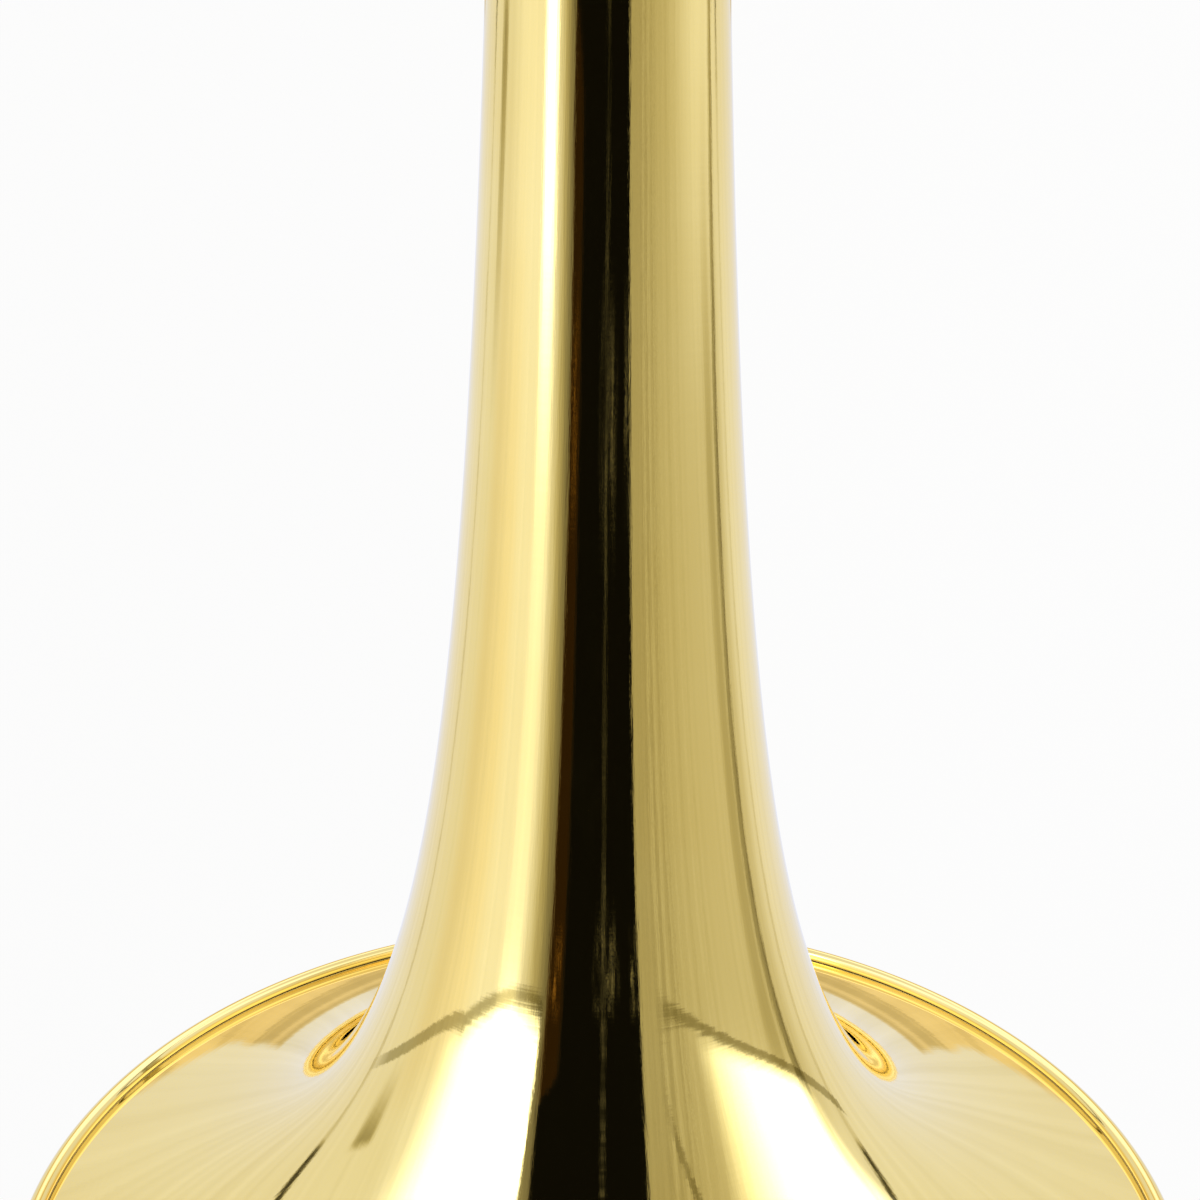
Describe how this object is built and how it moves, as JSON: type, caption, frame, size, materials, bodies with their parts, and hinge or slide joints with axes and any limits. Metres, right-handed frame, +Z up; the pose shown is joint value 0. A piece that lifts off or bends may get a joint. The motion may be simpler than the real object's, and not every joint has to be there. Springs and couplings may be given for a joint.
{
  "type": "tenor trombone",
  "caption": "Straight large-bore tenor trombone in lacquered brass, with hand slide, tuning slide, water key and mouthpiece.",
  "frame": {"origin": "middle of the inner slide brace, where the left hand holds the instrument, midway between the two slide legs", "axes": "+X forward, the way the hand slide runs out and the bell faces; +Y left, towards the bell; +Z up"},
  "size_m": [1.1746, 0.2546, 0.2148],
  "materials": {
    "lacquered_brass": "polished yellow brass under clear lacquer",
    "nickel_silver": "polished nickel silver under clear lacquer",
    "chrome_plate": "hard chrome plate on drawn tube",
    "silver_plate": "silver plate",
    "spring_steel": "drawn wire and turned screw",
    "black_rubber": "moulded rubber",
    "cork": "pressed cork",
    "bumper_felt": "wool felt"
  },
  "bodies": {
    "inner_slide": {"inner_tube_upper": "chrome_plate", "inner_tube_lower": "chrome_plate", "leadpipe": "lacquered_brass", "mouthpiece_receiver": "nickel_silver", "slide_tenon": "nickel_silver", "cork_barrel_upper": "nickel_silver", "cork_barrel_lower": "nickel_silver", "bumper_felt_upper": "bumper_felt", "bumper_felt_lower": "bumper_felt", "inner_brace_socket_upper": "nickel_silver", "inner_brace_socket_lower": "nickel_silver", "inner_brace_rod": "lacquered_brass"},
    "bell_section": {"bell_flare": "lacquered_brass", "bell_throat": "lacquered_brass", "bell_stem": "lacquered_brass", "bell_rim_wire": "spring_steel", "bell_ferrule": "nickel_silver", "tuning_sleeve_bell": "lacquered_brass", "tuning_sleeve_neck": "lacquered_brass", "neckpipe": "lacquered_brass", "neckpipe_ferrule": "nickel_silver", "neck_receiver": "nickel_silver", "front_brace_rod": "nickel_silver", "front_brace_flange_neck": "nickel_silver", "front_brace_flange_bell": "nickel_silver", "rear_brace_rod": "nickel_silver", "rear_brace_flange_neck": "nickel_silver", "rear_brace_flange_bell": "nickel_silver"},
    "tuning_slide": {"tuning_bow": "lacquered_brass", "tuning_leg_neck": "nickel_silver", "tuning_leg_bell": "nickel_silver", "tuning_ferrule_neck": "nickel_silver", "tuning_ferrule_bell": "nickel_silver", "tuning_brace_rod": "nickel_silver", "tuning_brace_flange_neck": "nickel_silver", "tuning_brace_flange_bell": "nickel_silver"},
    "bell_lock_nut": {"bell_lock_nut": "nickel_silver"},
    "slide_lock": {"slide_lock_ring": "nickel_silver"},
    "mouthpiece": {"mouthpiece": "silver_plate"},
    "outer_slide": {"outer_tube_upper": "lacquered_brass", "outer_tube_lower": "lacquered_brass", "outer_sleeve_upper": "nickel_silver", "outer_sleeve_lower": "nickel_silver", "lock_lug": "nickel_silver", "hand_brace_socket_upper": "nickel_silver", "hand_brace_socket_lower": "nickel_silver", "hand_brace_rod": "lacquered_brass", "slide_bow": "lacquered_brass", "bow_ferrule_upper": "nickel_silver", "bow_ferrule_lower": "nickel_silver", "bow_guard": "nickel_silver", "bumper_holder": "nickel_silver", "rubber_bumper": "black_rubber", "water_key_nipple": "nickel_silver", "water_key_saddle": "nickel_silver", "water_key_screw": "spring_steel", "water_key_spring": "spring_steel"},
    "water_key": {"water_key_lever": "nickel_silver", "water_key_cork": "cork"}
  },
  "joints": [
    {"name": "hand_slide", "type": "slide", "parent": "inner_slide", "child": "outer_slide", "axis": [1, 0, 0], "range_m": [0, 0.57]},
    {"name": "tuning_slide", "type": "slide", "parent": "bell_section", "child": "tuning_slide", "axis": [-1, 0, 0], "range_m": [0, 0.06]},
    {"name": "mouthpiece_pull", "type": "slide", "parent": "inner_slide", "child": "mouthpiece", "axis": [-1, 0, 0], "range_m": [0, 0.04]},
    {"name": "bell_swivel", "type": "hinge", "parent": "inner_slide", "child": "bell_section", "pos_m": [-0.03, 0, -0.042], "axis": [1, 0, 0], "range_deg": [-20, 20]},
    {"name": "bell_lock_nut", "type": "hinge", "parent": "inner_slide", "child": "bell_lock_nut", "pos_m": [-0.022, 0, -0.042], "axis": [1, 0, 0], "range_deg": [0, 1080]},
    {"name": "slide_lock", "type": "hinge", "parent": "inner_slide", "child": "slide_lock", "pos_m": [0.048, 0, -0.042], "axis": [1, 0, 0], "range_deg": [0, 32]},
    {"name": "water_key", "type": "hinge", "parent": "outer_slide", "child": "water_key", "pos_m": [0.7039, 0, -0.05645], "axis": [0, 1, 0], "range_deg": [0, 14], "stiffness_Nm_per_rad": 0.06, "springref_deg": -28.65}
  ]
}
